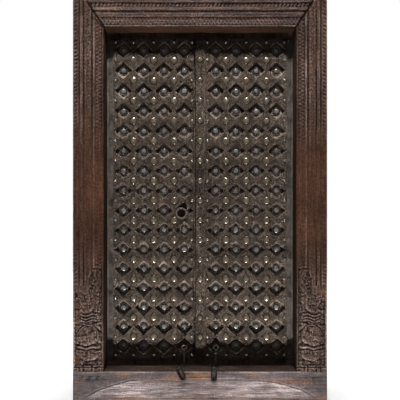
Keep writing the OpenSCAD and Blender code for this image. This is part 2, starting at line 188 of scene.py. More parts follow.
def start_group(name, inputs, outputs):
    """An empty shared effect with its named sockets."""
    group = bpy.data.node_groups.new(name, "ShaderNodeTree")
    for label, kind, value in inputs:
        group.interface.new_socket(label, in_out="INPUT", socket_type=kind).default_value = value
    for label, kind in outputs:
        group.interface.new_socket(label, in_out="OUTPUT", socket_type=kind)
    return group, group.nodes.new("NodeGroupInput"), group.nodes.new("NodeGroupOutput")


wood_fibre, fibre_in, fibre_out = start_group(
    "wood_fibre",
    [("Stretch", "NodeSocketVector", (90, 90, 6)), ("Fleck", "NodeSocketFloat", 1.0)],
    [("Shade", "NodeSocketColor"), ("Streak", "NodeSocketFloat"), ("Patch", "NodeSocketFloat"),
     ("Roughness", "NodeSocketFloat"), ("Height", "NodeSocketFloat")])
place = lay(wood_fibre, "TexCoord").outputs["Object"]
drawn = lay(wood_fibre, "VectorMath", {0: place, 1: fibre_in.outputs["Stretch"]}, operation="MULTIPLY")
long_fibre = cloud(wood_fibre, drawn.outputs[0], scale=1.0, detail=5.0, rough=0.62, warp=0.4)
fine_fibre = cloud(wood_fibre, drawn.outputs[0], scale=4.2, detail=3.0, rough=0.6)
fibres = reckon(wood_fibre, "ADD", long_fibre, fine_fibre)
patch = cloud(wood_fibre, place, scale=6.0, detail=4.0, rough=0.6)
pores = cloud(wood_fibre, place, scale=260.0, detail=2.0)
fleck = cloud(wood_fibre, place, scale=95.0, detail=3.0, rough=0.7)
fleck_amount = fibre_in.outputs["Fleck"]
fleck_tone = remap(wood_fibre, fleck, 0.38, 0.64, -0.65, 0.75)
fibre_shade = remap(wood_fibre, fibres, 0.72, 1.28, 0.55, 1.45)
for tone in (remap(wood_fibre, patch, 0.3, 0.7, 0.72, 1.28),
             remap(wood_fibre, pores, 0.3, 0.7, 0.6, 1.4),
             reckon(wood_fibre, "MULTIPLY_ADD", fleck_tone, fleck_amount, 1.0)):
    fibre_shade = reckon(wood_fibre, "MULTIPLY", fibre_shade, tone)
join(wood_fibre, fibre_out, {
    "Shade": fibre_shade,
    "Streak": remap(wood_fibre, fibres, 0.8, 1.2, 0.25, 1.0),
    "Patch": remap(wood_fibre, patch, 0.38, 0.62, 0.0, 1.0),
    "Roughness": remap(wood_fibre, fibres, 0.7, 1.3, 0.82, 0.58),
    "Height": reckon(wood_fibre, "MULTIPLY_ADD", fleck, fleck_amount, fibres)})


def start_finish(name, effect, settings, gloss):
    """A new finish with one shared effect placed in it."""
    finish = bpy.data.materials.new(name)
    finish.use_nodes = True
    tree = finish.node_tree
    shader = tree.nodes["Principled BSDF"]
    shader.inputs["Specular IOR Level"].default_value = gloss
    texture = lay(tree, "Group", node_tree=effect)
    for label, value in settings.items():
        texture.inputs[label].default_value = value
    return finish, tree, shader, texture


def wear_mask(tree):
    """The openness, rubbing and second colour that a piece carries, as red, green and blue; in places the
    first two carry painted shade and a painted highlight.
    """
    wear_and_light_node = lay(tree, "Attribute", attribute_name="wear_and_painted_light")
    return lay(tree, "SeparateColor", {"Color": wear_and_light_node.outputs["Color"]}).outputs


def end_finish(tree, shader, texture, tone, bump, relief_depth):
    """Shades the tone with the effect, and gives the surface its roughness and fine relief."""
    tone = blend_tone(tree, 1.0, tone, texture.outputs["Shade"], "MULTIPLY")
    rough, height = texture.outputs["Roughness"], texture.outputs["Height"]
    relief = lay(tree, "Bump", {"Strength": bump, "Distance": relief_depth, "Height": height})
    join(tree, shader, {"Base Color": tone, "Roughness": rough, "Normal": relief.outputs[0]})


def timber_finish(name, hollow, wood, rubbed, second, stretch, bump, fleck):
    """Old oiled timber: dark in the hollows, pale where hands and feet rub, in two colours; in places the
    dark carries painted shade and the pale a painted highlight.
    """
    settings = {"Stretch": stretch, "Fleck": fleck}
    finish, tree, shader, grain = start_finish(name, wood_fibre, settings, gloss=0.05)
    mask = wear_mask(tree)
    tone = blend_tone(tree, mask["Red"], (*hollow, 1), (*wood, 1))
    tone = blend_tone(tree, mask["Blue"], tone, (*second, 1))
    rub_and_highlight = reckon(tree, "MULTIPLY", mask["Green"], grain.outputs["Streak"])
    tone = blend_tone(tree, rub_and_highlight, tone, (*rubbed, 1))
    end_finish(tree, shader, grain, tone, bump, relief_depth=0.002)
    return finish


def fit(piece, finish, slot, body, *nodes):
    """Gives a piece its finish, sets it on its body and lets it stand for its solids. The slot is not used.
    """
    piece.data.materials.append(finish)
    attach(piece, body)
    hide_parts(*nodes)


(_, face_y, _), (frame_half, sill_back, sill_height) = reach_of("threshold")
sill_columns, sill_rows = 372, 58
sill_x, sill_z = np.meshgrid(np.linspace(-frame_half, frame_half, sill_columns),
                             np.linspace(0, sill_height, sill_rows))
sill_out = np.abs(sill_x)
arc_out, arc_height = [0, 200, 325, 378, 446, 525, 598, 640], [113, 110, 105, 100, 84, 58, 21, 0]
below = np.interp(sill_out, arc_out, arc_height) + 3 * uneven(sill_x, 0 * sill_x, 90, 3) - sill_z
lip = soft_hump(below, 0, 2.2) * ease(sill_out, 250, 430) * ease(sill_out, 620, 560)
tar = soft_hump(sill_out, 555, 75) * soft_hump(sill_z, 116, 20)
tar *= np.clip(0.7 + 0.9 * uneven(sill_x / 1.5, sill_z, 9, 14), 0, 1)
sill_depth = ease(below, -3, 4) * (1.5 + 7.5 * np.clip(below / arc_height[0], 0, 1))
sill_depth += 3.5 * lip + 1.1 * uneven(sill_x / 3.5, sill_z, 22, 5) * ease(below, -30, 10)
sill_depth += 0.5 * uneven(sill_x / 5, sill_z, 7, 6) + 1.4 * ease(sill_z, sill_height - 4, sill_height)
sill_depth = np.maximum(sill_depth, 0)
sill_proud = spread(sill_depth, 3) - sill_depth
grime = ease(sill_z, 10, 60) * (soft_hump(sill_x, -88, 34) + 0.7 * soft_hump(sill_x, 68, 30))
sill_open = 0.62 + 0.2 * ease(below, -4, 20) + 0.16 * sill_proud + 0.2 * uneven(sill_x / 4, sill_z, 30, 12)
# The dark line along the arc (0.9 * lip) is painted shadow under the worn step.
sill_open -= 0.9 * lip + 0.6 * tar + 0.3 * ease(sill_z, 14, 3) + 0.5 * grime
streaks = 0.62 + 0.38 * uneven(sill_x / 5, sill_z, 14, 8) + 0.28 * uneven(sill_x / 3, sill_z, 40, 9)
treads = 0.32 + 0.78 * soft_hump(sill_out, 345, 190)
# A pale band just below the arc is a painted highlight where the step catches light; the rest of this channel
# is rubbing.
painted_lip_highlight = soft_hump(below, 9, 6) * ease(sill_out, 250, 400) * ease(sill_out, 590, 520)
sill_rub_and_highlight = ease(below, 0, 26) * streaks * treads * ease(sill_z, 0, 22) + 0.25 * sill_proud + 0.7 * painted_lip_highlight
brown = 0.9 * soft_hump(sill_x, 0, 62) * soft_hump(sill_z, 118, 16)
brown += 0.7 * ease(uneven(sill_x / 4, sill_z, 34, 11), 0.0, 0.8) * (1 - 0.8 * ease(below, 0, 20)) * (1 - tar)
brown += 0.7 * ease(sill_z, 34, 8) * ease(uneven(sill_x / 3, sill_z, 26, 15), -0.3, 0.5)
sill_tone = np.clip(np.stack([sill_open, sill_rub_and_highlight, brown], -1), 0, 1)
# The face is made darker behind each ring.
for ring_top, ring_foot in (((-113, 176), (-88, 106)), ((73, 176), (73, 98))):
    behind_ring_darkening = ease(beside_line(sill_x, sill_z, ring_top, ring_foot), 24, 4)
    sill_tone *= 1 - 0.55 * behind_ring_darkening[..., None]
worn_wood = timber_finish(
    "worn_threshold_wood", hollow=(0.019, 0.017, 0.019), wood=(0.126, 0.099, 0.095),
    rubbed=(0.43, 0.352, 0.342), second=(0.15, 0.078, 0.045), stretch=(5, 70, 90), bump=0.6, fleck=0.2)
sill_face = np.stack([sill_x, face_y + sill_depth, sill_z], -1)
threshold = close_beam("threshold_timber", sill_face, sill_tone, sill_back,
                       under=(0.5, 0, 0), end=(0.7, 0.1, 0), top=(0.4, 0.0, 0.4))
fit(threshold, worn_wood, "worn_wood", "frame", "threshold")


# Jambs
# Two upright timbers that stand on the threshold, each run with fillets and grooves along its length.
# Rows of slanted cuts, drilled dots and a zig-zag band are chip-carved into the mouldings.
# At the foot a vase with leaves is cut in relief, and the middle is rubbed plain and reddish by hands.

_, (jamb_inner, jamb_back, frame_height) = reach_of("left_jamb")
jamb_width, opening_top = frame_half + jamb_inner, reach_of("head")[0][2]
crack_half, crack_depth, mitre_start = 2.0, 12.0, 66.0
mitre_fall = (frame_height - opening_top) / (jamb_width - mitre_start)
crack_back, lip_depth, lip_dark = face_y + crack_depth, 5, 0.96
carve, notch_pitch = 7.0, 20
jamb_line = np.array([
    (0, 2), (2, 0), (26, 0), (29, carve * 0.6), (35, carve * 0.6), (38, 1), (41, 0), (46, 0), (49, 1),
    (51, carve * 0.8), (59, carve * 0.8), (63, 2), (68, 2), (90, 2), (95, carve * 0.7), (103, carve * 0.7),
    (106, 0), (113, 0), (116, 3), (151, 3), (155, 0.5), (159, 0.5), (161, 3)])


def cut_row(across, along, place, pitch, slant, length, width):
    """A row of slanted knife cuts, 0 to 1 deep, along a moulding."""
    turn = math.radians(slant)
    step = along - (np.floor(along / pitch) + 0.5) * pitch
    off = across - place
    run = off * math.cos(turn) + step * math.sin(turn)
    side = step * math.cos(turn) - off * math.sin(turn)
    flank = np.clip(1.25 - 1.25 * np.abs(side) / (width / 2), 0, 1)
    return flank * ease(np.abs(run), length / 2 + 1, length / 2 - 2)


def drilled_row(across, along, place):
    """A row of drilled dots, 0 to 1 deep, one to each notch."""
    step = along - (np.floor(along / notch_pitch) + 0.5) * notch_pitch
    return ease(np.hypot(across - place, step), 5.2, 1.5)


def zigzag_band(across, along, low, high, sunk, raised):
    """Depth of a zig-zag ridge between two lines, with sunk triangles on both sides."""
    swing = np.abs(2 * (along / notch_pitch - np.floor(along / notch_pitch)) - 1)
    line = low + 4 + (high - low - 8) * swing
    band = ease(across, low, low + 2) * ease(across, high, high - 2)
    return band * (sunk - raised * ease(np.abs(across - line), 11, 2))


def carved_lines(profile, kept, pitch, gap):
    """Grid lines of a carved face: those of its profile and even ones between them, without slivers."""
    lines = np.unique(np.concatenate([profile[:, 0], kept, np.arange(0, profile[-1, 0], pitch)]))
    return lines[np.insert(np.diff(lines) > gap, 0, True) | np.isin(lines, kept)]


def crack_lip(away):
    """The broken lip of the mitre's crack, from 0 to 1, by the distance from it."""
    return ease(away, 6.5, 1.5)


def disc(s, z, x, y, r):
    """Distance from the edge of a round, below 0 inside it."""
    return np.hypot(s - x, z - y) - r


def plate(s, z, x, y, wide, high):
    """Distance from the edge of a plain rectangle, below 0 inside it."""
    return np.maximum(np.abs(s - x - wide / 2) - wide / 2, np.abs(z - y - high / 2) - high / 2)


def blade(s, z, x, y, turn, length, width, start=0):
    """Distance from the edge of a pointed leaf that runs out from a point at an angle, below 0 inside it."""
    a = math.radians(turn)
    u = (s - x) * math.cos(a) + (z - y) * math.sin(a) - start - length / 2
    v = (z - y) * math.cos(a) - (s - x) * math.sin(a)
    r = (length ** 2 + width ** 2) / (4 * width)
    return np.maximum(np.hypot(u, v + r - width / 2) - r, np.hypot(u, v - r + width / 2) - r)


def foot_carving(s, z):
    """Depth of the carved foot from its face, and how far a point lies inside its ground.
    s is the way in from the jamb's outer edge and z the height above the threshold."""
    slope = ((z - 452) * 40 - (s - 64) * 93) / math.hypot(40, 93)
    ground = np.minimum(plate(s, z, 9, 30, 143, 422), np.maximum(plate(s, z, 56, 440, 96, 105), slope))
    chips = uneven(s, z, 9, 24) + 0.7 * uneven(s, z, 5, 25)
    rubbed_flat = ease(z + 0.3 * s, 405, 432) * ease(s, 92, 72)
    s, z = (s + 6.0 * uneven(s, z, 34, 51) + 1.8 * uneven(s, z, 11, 52),
            z + 6.0 * uneven(s, z, 34, 53) + 1.8 * uneven(s, z, 11, 54))
    middle, petal_foot, belly_foot, leaf_foot = 80, 52, 146, 306
    bowl = np.maximum(disc(s, z, middle, 134, 78), plate(s, z, 9, 46, 143, 66))
    rim = plate(s, z, 24, 118, 113, 12)
    belly = np.maximum(disc(s, z, middle, 190, 56), 136 - z)
    neck = [plate(s, z, 34, 258, 95, 10), plate(s, z, 42, 274, 79, 9), plate(s, z, 34, 290, 95, 12)]
    leaves = [blade(s, z, middle, leaf_foot, turn, 128, 38) for turn in (62, 118)]
    leaves.append(blade(s, z, middle, leaf_foot, 90, 104, 30))
    scroll = np.maximum.reduce([disc(s, z, 52, 470, 96), -disc(s, z, 32, 476, 84), 60 - s, z - 536])
    rosette = [np.abs(disc(s, z, 124, 515, 19.5)) - 4.5, disc(s, z, 124, 515, 7)]
    shape = np.minimum.reduce([bowl, rim, belly, *neck, *leaves, scroll, *rosette])
    petals = [blade(s, z, middle, petal_foot, turn, 56, 18, 6) for turn in (38, 64, 90, 116, 142)]
    petals += [blade(s, z, middle, belly_foot, turn, 66, 20, 14) for turn in (30, 60, 90, 120, 150)]
    high = np.minimum.reduce(petals)
    wave = uneven(s, z, 16, 21) + 0.6 * uneven(s, z, 7, 22)
    depth = 8 + 1.2 * wave + 0.6 * chips - 4.4 * ease(shape, 3, -5) - 2.0 * ease(high, 1, -3.5)
    depth += 0.6 * soft_hump(shape, -8, 1.6) + 1.0 * soft_hump(high, -5.5, 1.4)
    leafage = uneven(s, z * 0.8, 17, 23) + 0.6 * uneven(s, z, 9, 26)
    depth -= 3.6 * ease(leafage, -0.1, 0.35) * ease(shape, 2, 5)
    depth += 2.2 * ease(uneven(s * 0.7, z, 12, 27), 0.25, 0.6) * ease(shape, -2, -7)
    strokes = 1 - np.abs(uneven(s / 1.7, z + 0.4 * s, 13, 28))
    stroke_depth = 2.6 * ease(strokes, 0.72, 1.0) - 0.6 * ease(strokes, 0.5, 0.3)
    depth += stroke_depth * (1 - 0.65 * ease(shape, 1, -4))
    depth += (2.2 + 0.4 * chips - depth) * rubbed_flat
    return np.maximum(depth, 0), ground


def jamb_carving(s, z, seed):
    """Depth of a jamb's face in millimetres, and its tone. Here z is the height above the ground."""
    up = z - sill_height
    plain = np.exp(-((z - 1090) / 330) ** 4)
    crisp = (1 - 0.72 * plain) * (0.8 + 0.45 * uneven(s, z, 13, seed) + 0.2 * uneven(s, z, 60, seed + 6))
    depth = np.interp(s, jamb_line[:, 0], jamb_line[:, 1])
    depth += 4.5 * crisp * cut_row(s, up, 14, notch_pitch, slant=32, length=19, width=9)
    depth += 3.0 * crisp * cut_row(s, up, 32, notch_pitch / 2, slant=0, length=6, width=6)
    depth += 4.0 * crisp * cut_row(s, up, 55, notch_pitch, slant=-32, length=10, width=9)
    depth += 1.6 * crisp * cut_row(s, up, 77, notch_pitch, slant=40, length=22, width=6)
    depth += 4.0 * crisp * drilled_row(s, up, 99)
    wander = 2.5 * uneven(s, z, 22, seed + 7)
    depth += crisp * zigzag_band(s, up + wander, 116, 151, sunk=1.8, raised=2.8)
    depth += 0.55 * uneven(s, z / 4, 9, seed + 1) + 0.8 * plain * uneven(s, z / 9, 6, seed + 2)
    depth += (1 - 0.7 * plain) * (0.9 * uneven(s, z, 6, seed + 8) + 0.6 * uneven(s, z, 11, seed + 9))
    carved, ground = foot_carving(s, up)
    inside = ease(ground, 1, -3)
    depth = depth * (1 - inside) + carved * inside
    depth += 4 * ease(np.abs(up - 22.5), 4, 2)
    depth += 2.5 * ease(uneven(s * 1.3, z / 14, 8, seed + 3), 0.8, 0.97)
    depth = np.maximum(depth, 0)
    proud = spread(depth, 3) - depth
    foot = ease(up, 560, 300)
    openness = 0.68 + 0.3 * proud - 0.05 * depth
    rubbing = (0.22 + 0.12 * foot) * proud + 0.16 * foot - 0.1 * plain
    red = 0.85 * plain + 0.35 * ease(uneven(s * 2, z / 3, 50, seed + 4), 0.0, 0.8) * ease(up, 300, 700)
    red += 0.8 * ease(uneven(s, z, 70, seed + 10), 0.1, 0.6) * ease(up, 520, 420) * ease(s, 95, 60)
    tone = np.clip(np.stack([openness, rubbing, red], -1), 0, 1)
    # Painted shade darkens the face towards its inner edge, along the reveal.
    tone[..., :2] *= 1 - np.array([0.45, 0.8]) * ease(s, 150, 156)[..., None]
    return depth, tone


def carved_jamb(name, hand, seed):
    """One jamb, with the crack of its mitre; the right hand one is the left hand one turned over."""
    crack_start, straight_to, row_pitch, mitred_rows = mitre_start - crack_half, 1860, 2.7, 72
    columns = carved_lines(jamb_line, [crack_start, jamb_width], pitch=2.25, gap=0.6)
    top = np.minimum(frame_height, frame_height - (columns - crack_start) * mitre_fall)
    lower, upper = np.arange(sill_height, straight_to, row_pitch), np.linspace(0, 1, mitred_rows)
    s = np.tile(columns, (len(lower) + len(upper), 1))
    mitred = straight_to + upper[:, None] * (top - straight_to)
    z = np.vstack([np.repeat(lower[:, None], len(columns), 1), mitred])
    depth, tone = jamb_carving(s, z, seed)
    if hand < 0:
        split_s, split_z, split_run, split_fall = 113, 2001, 47, 53
        split = (z - split_z) * split_run + (s - split_s) * split_fall
        split = ease(np.abs(split) / math.hypot(split_run, split_fall), 3.0, 1.0) * ease(s, 110, 118)
        depth += crack_depth * split
        tone[..., 0] *= 1 - 0.9 * split
    lips = crack_lip((top[None, :] - z) / math.hypot(1, mitre_fall)) * ease(s, 62, 66)
    depth += lip_depth * lips
    tone[..., :2] *= 1 - lip_dark * lips[..., None]

    def corner(way_in, y, height):
        return hand * (frame_half - way_in), y, height

    n = np.arange(s.size).reshape(s.shape)
    turn = int(np.where(columns == crack_start)[0][0])
    corners = [
        corner(0, jamb_back, sill_height), corner(jamb_width, jamb_back, sill_height),
        corner(jamb_width, jamb_back, opening_top), corner(mitre_start, jamb_back, frame_height),
        corner(0, jamb_back, frame_height), corner(jamb_width, crack_back, top[-1]),
        corner(jamb_width, crack_back, opening_top), corner(crack_start, crack_back, frame_height),
        corner(mitre_start, crack_back, frame_height)]
    (foot_out, foot_in, mitre_low, mitre_high, top_out,
     crack_low, crack_low_back, crack_high, crack_high_back) = range(s.size, s.size + len(corners))
    plain, shade, dark = (0.62, 0.03, 0.3), (0.16, 0.0, 0.05), (0.05, 0, 0)
    walls = [
        ([*n[0, :], foot_in, foot_out], dark),
        ([*n[:, -1], crack_low, crack_low_back, mitre_low, foot_in], shade),
        ([*n[-1, turn:][::-1], crack_high, crack_low], dark),
        ([crack_low, crack_high, crack_high_back, crack_low_back], dark),
        ([crack_low_back, crack_high_back, mitre_high, mitre_low], dark),
        ([*n[-1, :turn + 1][::-1], top_out, mitre_high, crack_high_back, crack_high], plain),
        ([*n[::-1, 0], foot_out, top_out], plain),
        ([foot_out, foot_in, mitre_low, mitre_high, top_out], plain)]
    face = np.stack([hand * (frame_half - s), face_y + depth, z], -1)
    return close_timber(name, face, tone, corners, walls)


jamb_wood = timber_finish(
    "carved_jamb_wood", hollow=(0.010, 0.006, 0.005), wood=(0.074, 0.042, 0.030), rubbed=(0.22, 0.17, 0.148),
    second=(0.086, 0.039, 0.023), stretch=(75, 75, 5), bump=0.6, fleck=0.45)
for hand, side in ((-1, "left"), (1, "right")):
    jamb = carved_jamb(side + "_jamb_timber", hand, seed=40 + 5 * hand)
    fit(jamb, jamb_wood, "carved_wood", "frame", side + "_jamb")


# Head
# One timber laid across the jambs and mitred into them, with an open crack where it has shrunk.
# Its face carries the same fillets and chip-carved rows, run lengthwise, and its underside is plain.

head_line = np.array([
    (0, 2), (2, 0), (14, 0), (18, carve * 0.7), (40, carve * 0.7), (45, 0), (56, 0), (59, carve * 0.7),
    (68, carve * 0.7), (72, 1), (89, 1), (94, carve * 0.7), (106, carve * 0.7), (110, 3), (135, 3),
    (138, 0.5), (142, 0.5), (144, 3)])
head_columns, head_run_start = 450, 1000
head_rows = carved_lines(head_line, [frame_height - opening_top], pitch=2.4, gap=0.7)[:, None]
head_reach = frame_half - mitre_start - head_rows / mitre_fall - crack_half
head_x = np.linspace(-1, 1, head_columns)[None, :] * head_reach
head_t = np.repeat(head_rows, head_columns, 1)
head_run = head_x + head_run_start
head_depth = np.interp(head_t, head_line[:, 0], head_line[:, 1])
head_depth += 4.5 * cut_row(head_t, head_run, 29, notch_pitch, slant=-32, length=21, width=9)
head_depth += 4.0 * drilled_row(head_t, head_run, 63)
head_depth += 4.0 * cut_row(head_t, head_run, 100, notch_pitch, slant=32, length=12, width=8)
head_depth += 1.6 * cut_row(head_t, head_run, 80, notch_pitch / 2, slant=30, length=14, width=5)
head_depth += 1.4 * cut_row(head_t, head_run, 8, notch_pitch / 2, slant=-30, length=9, width=5)
head_wander = 2.5 * uneven(head_t, head_x, 22, 74)
head_depth += zigzag_band(head_t, head_run + head_wander, 110, 135, sunk=1.4, raised=2.2)
head_depth += 0.5 * uneven(head_t, head_x / 4, 8, 71) + 0.9 * uneven(head_t, head_x, 6, 72)
head_depth += 0.6 * uneven(head_t, head_x, 11, 75)
head_depth = np.maximum(head_depth, 0)
head_proud = spread(head_depth, 3) - head_depth
head_red = 0.5 * ease(uneven(head_t * 2, head_x / 2, 60, 73), 0.1, 0.8)
head_tone = np.stack([0.7 + 0.26 * head_proud - 0.045 * head_depth, 0.06 + 0.3 * head_proud, head_red], -1)
head_tone = np.clip(head_tone, 0, 1)
head_lips = crack_lip((head_reach - np.abs(head_x)) * mitre_fall / math.hypot(1, mitre_fall))
head_depth += lip_depth * head_lips
head_tone[..., :2] *= 1 - lip_dark * head_lips[..., None]
head_face = np.stack([head_x, face_y + head_depth, frame_height - head_t], -1)
top_reach, low_reach = frame_half - mitre_start, frame_half - jamb_width
head_corners = []
for hand in (-1, 1):
    for reach, height in ((top_reach, frame_height), (low_reach, opening_top)):
        head_corners += [(hand * (reach - crack_half), crack_back, height),
                         (hand * reach, crack_back, height), (hand * reach, jamb_back, height)]
head_n = np.arange(head_x.size).reshape(head_x.shape)
head_ends = np.arange(head_x.size, head_x.size + len(head_corners))
left_end, right_end = head_ends.reshape(2, -1).tolist()
head_plain, head_under, head_dark = (0.62, 0.03, 0.2), (0.95, 0.0, 1.0), (0.05, 0, 0)
head_walls = [
    ([*head_n[0, :], *right_end[:3], *left_end[2::-1]], head_plain),
    ([*head_n[-1, ::-1], *left_end[3:], *right_end[:2:-1]], head_under),
    ([*head_n[::-1, 0], left_end[0], left_end[3]], head_dark),
    ([*head_n[:, -1], right_end[3], right_end[0]], head_dark),
    ([left_end[2], right_end[2], right_end[5], left_end[5]], head_plain)]
for a, b, c, d, e, f in (left_end, right_end):
    head_walls += [([a, b, e, d], head_dark), ([b, c, f, e], head_dark)]
head_wood = timber_finish(
    "carved_head_wood", hollow=(0.011, 0.007, 0.006), wood=(0.072, 0.047, 0.039), rubbed=(0.2, 0.14, 0.12),
    second=(0.078, 0.038, 0.022), stretch=(5, 75, 75), bump=0.6, fleck=0.5)
head = close_timber("head_timber", head_face, head_tone, head_corners, head_walls)
fit(head, head_wood, "carved_wood", "frame", "head")


# Planks, posts and battens
# Each leaf is two broad planks beside a pivot post, left rough from the saw and gone grey-brown with age.
# Five battens are nailed across the back, and two wooden lugs pegged behind the head hold the upper pivots.

def plank_finish(name, dark, light, stretch):
    """Rough sawn timber that was never carved."""
    settings = {"Stretch": stretch, "Fleck": 0.3}
    finish, tree, shader, grain = start_finish(name, wood_fibre, settings, gloss=0.05)
    tone = blend_tone(tree, grain.outputs["Patch"], (*dark, 1), (*light, 1))
    end_finish(tree, shader, grain, tone, bump=0.7, relief_depth=0.003)
    return finish


def dress(node, finish, soften=0.0):
    """Gives a solid of the frame its finish, and eases its arrises by the given millimetres."""
    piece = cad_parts[node]
    piece.data.materials.clear()
    piece.data.materials.append(finish)
    if soften:
        weld = piece.modifiers.new("joined_faces", "WELD")
        weld.merge_threshold = 0.00001
        eased = piece.modifiers.new("eased_arrises", "BEVEL")
        eased.width, eased.segments = soften * 0.001, 2
        eased.limit_method, eased.angle_limit = "ANGLE", math.radians(40)


def swell(node, label, amount):
    """Adds the given millimetres to the surface of a solid of the frame."""
    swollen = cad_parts[node].modifiers.new(label, "DISPLACE")
    swollen.strength, swollen.mid_level = amount * 0.001, 0.0


plank_wood = plank_finish(
    "sawn_plank_wood", dark=(0.12, 0.093, 0.072), light=(0.21, 0.167, 0.132), stretch=(60, 60, 4))
batten_wood = plank_finish(
    "sawn_batten_wood", dark=(0.05, 0.033, 0.024), light=(0.105, 0.074, 0.055), stretch=(4, 60, 60))
for side in ("left", "right"):
    for part in ("post", "plank_1", "plank_2"):
        dress(side + "_" + part, plank_wood, soften=1.5)
    for number in range(1, 6):
        dress(side + "_batten_" + str(number), batten_wood, soften=3)
    dress(side + "_lug", batten_wood, soften=3)
    swell(side + "_plank_1", "swollen_joint", 0.2)
dress("lug_pegs", plank_wood, soften=1)


# Pivots and nails behind
# Forged iron pins turn in the wooden lugs above and in iron cups let into the threshold below.
# Nails with low hammered heads hold the battens. The iron is black with oil and dust.

iron_skin, skin_in, skin_out = start_group(
    "iron_skin",
    [("Size", "NodeSocketFloat", 60.0)],
    [("Shade", "NodeSocketColor"), ("Rust", "NodeSocketFloat"), ("Roughness", "NodeSocketFloat"),
     ("Height", "NodeSocketFloat")])
iron_place = lay(iron_skin, "TexCoord").outputs["Object"]
blows = cloud(iron_skin, iron_place, scale=skin_in.outputs["Size"], detail=2.0)
crust = cloud(iron_skin, iron_place, scale=420.0, detail=4.0, rough=0.65)
film = cloud(iron_skin, iron_place, scale=14.0, detail=3.0)
blow_tone = remap(iron_skin, blows, 0.3, 0.7, 0.75, 1.25)
crust_tone = remap(iron_skin, crust, 0.3, 0.7, 0.7, 1.3)
join(iron_skin, skin_out, {
    "Shade": reckon(iron_skin, "MULTIPLY", blow_tone, crust_tone),
    "Rust": remap(iron_skin, film, 0.48, 0.68, 0.0, 1.0),
    "Roughness": remap(iron_skin, crust, 0.3, 0.7, 0.14, 0.28),
    "Height": reckon(iron_skin, "ADD", blows, crust)})


def iron_finish(name, dark, bright, rust, size, bump, metal=0.15, gloss=0.3, tint=(1, 0.95, 0.88)):
    """Hammered iron or brass under a dark skin, painted brighter on the crown as a highlight and darker at
    the foot as shade.
    """
    finish, tree, shader, skin = start_finish(name, iron_skin, {"Size": size}, gloss)
    shader.inputs["Metallic"].default_value = metal
    shader.inputs["Specular Tint"].default_value = (*tint, 1)
    tone = blend_tone(tree, wear_mask(tree)["Green"], (*dark, 1), (*bright, 1))
    tone = blend_tone(tree, skin.outputs["Rust"], tone, (*rust, 1))
    end_finish(tree, shader, skin, tone, bump, relief_depth=0.001)
    return finish


black_iron = iron_finish(
    "black_forged_iron", dark=(0.009, 0.008, 0.008), bright=(0.03, 0.028, 0.026), rust=(0.02, 0.012, 0.009),
    size=90, bump=0.5, metal=0.0, gloss=0.16)
for side in ("left", "right"):
    for part in ("top_pin", "bottom_pin", "socket"):
        dress(side + "_" + part, black_iron, soften=0.8)
    dress(side + "_batten_nails", black_iron)


# Lattices
# A board on the front of each leaf is pierced by rows of diamond pockets, so that the planks show behind.
# The pockets are cut by hand, no two quite alike, with a scribed line round each and eased edges.

(field_left, lattice_front, field_low), (left_inner, plank_front, field_high) = reach_of("left_lattice")
field_outer, leaf_inner = -field_left, {-1: -left_inner, 1: reach_of("right_lattice")[0][0]}
board = plank_front - lattice_front
pocket_columns, pocket_rows, bar_half = 4, 16, 8.0
column_step = (field_outer - (leaf_inner[-1] + leaf_inner[1]) / 2) / pocket_columns
first_row, row_step, row_sag, last_row = 260, 106.8, 14, pocket_rows - 1
pocket_half_x, pocket_half_z = column_step / 2 - bar_half, row_step / 2 - bar_half
collar_at, collar_hole, collar_pocket = np.array([-99.0, 977.0]), 26.6, (3, 7)


def column_x(i):
    """Distance of a column of pockets from the middle of the door; halves lie between columns."""
    return field_outer - column_step * (i + 0.5)


def row_z(k):
    """Height of a row of pockets, which stand a little closer in the middle; halves lie between rows."""
    return first_row + row_step * k - row_sag * 4 * k * (last_row - k) / last_row ** 2


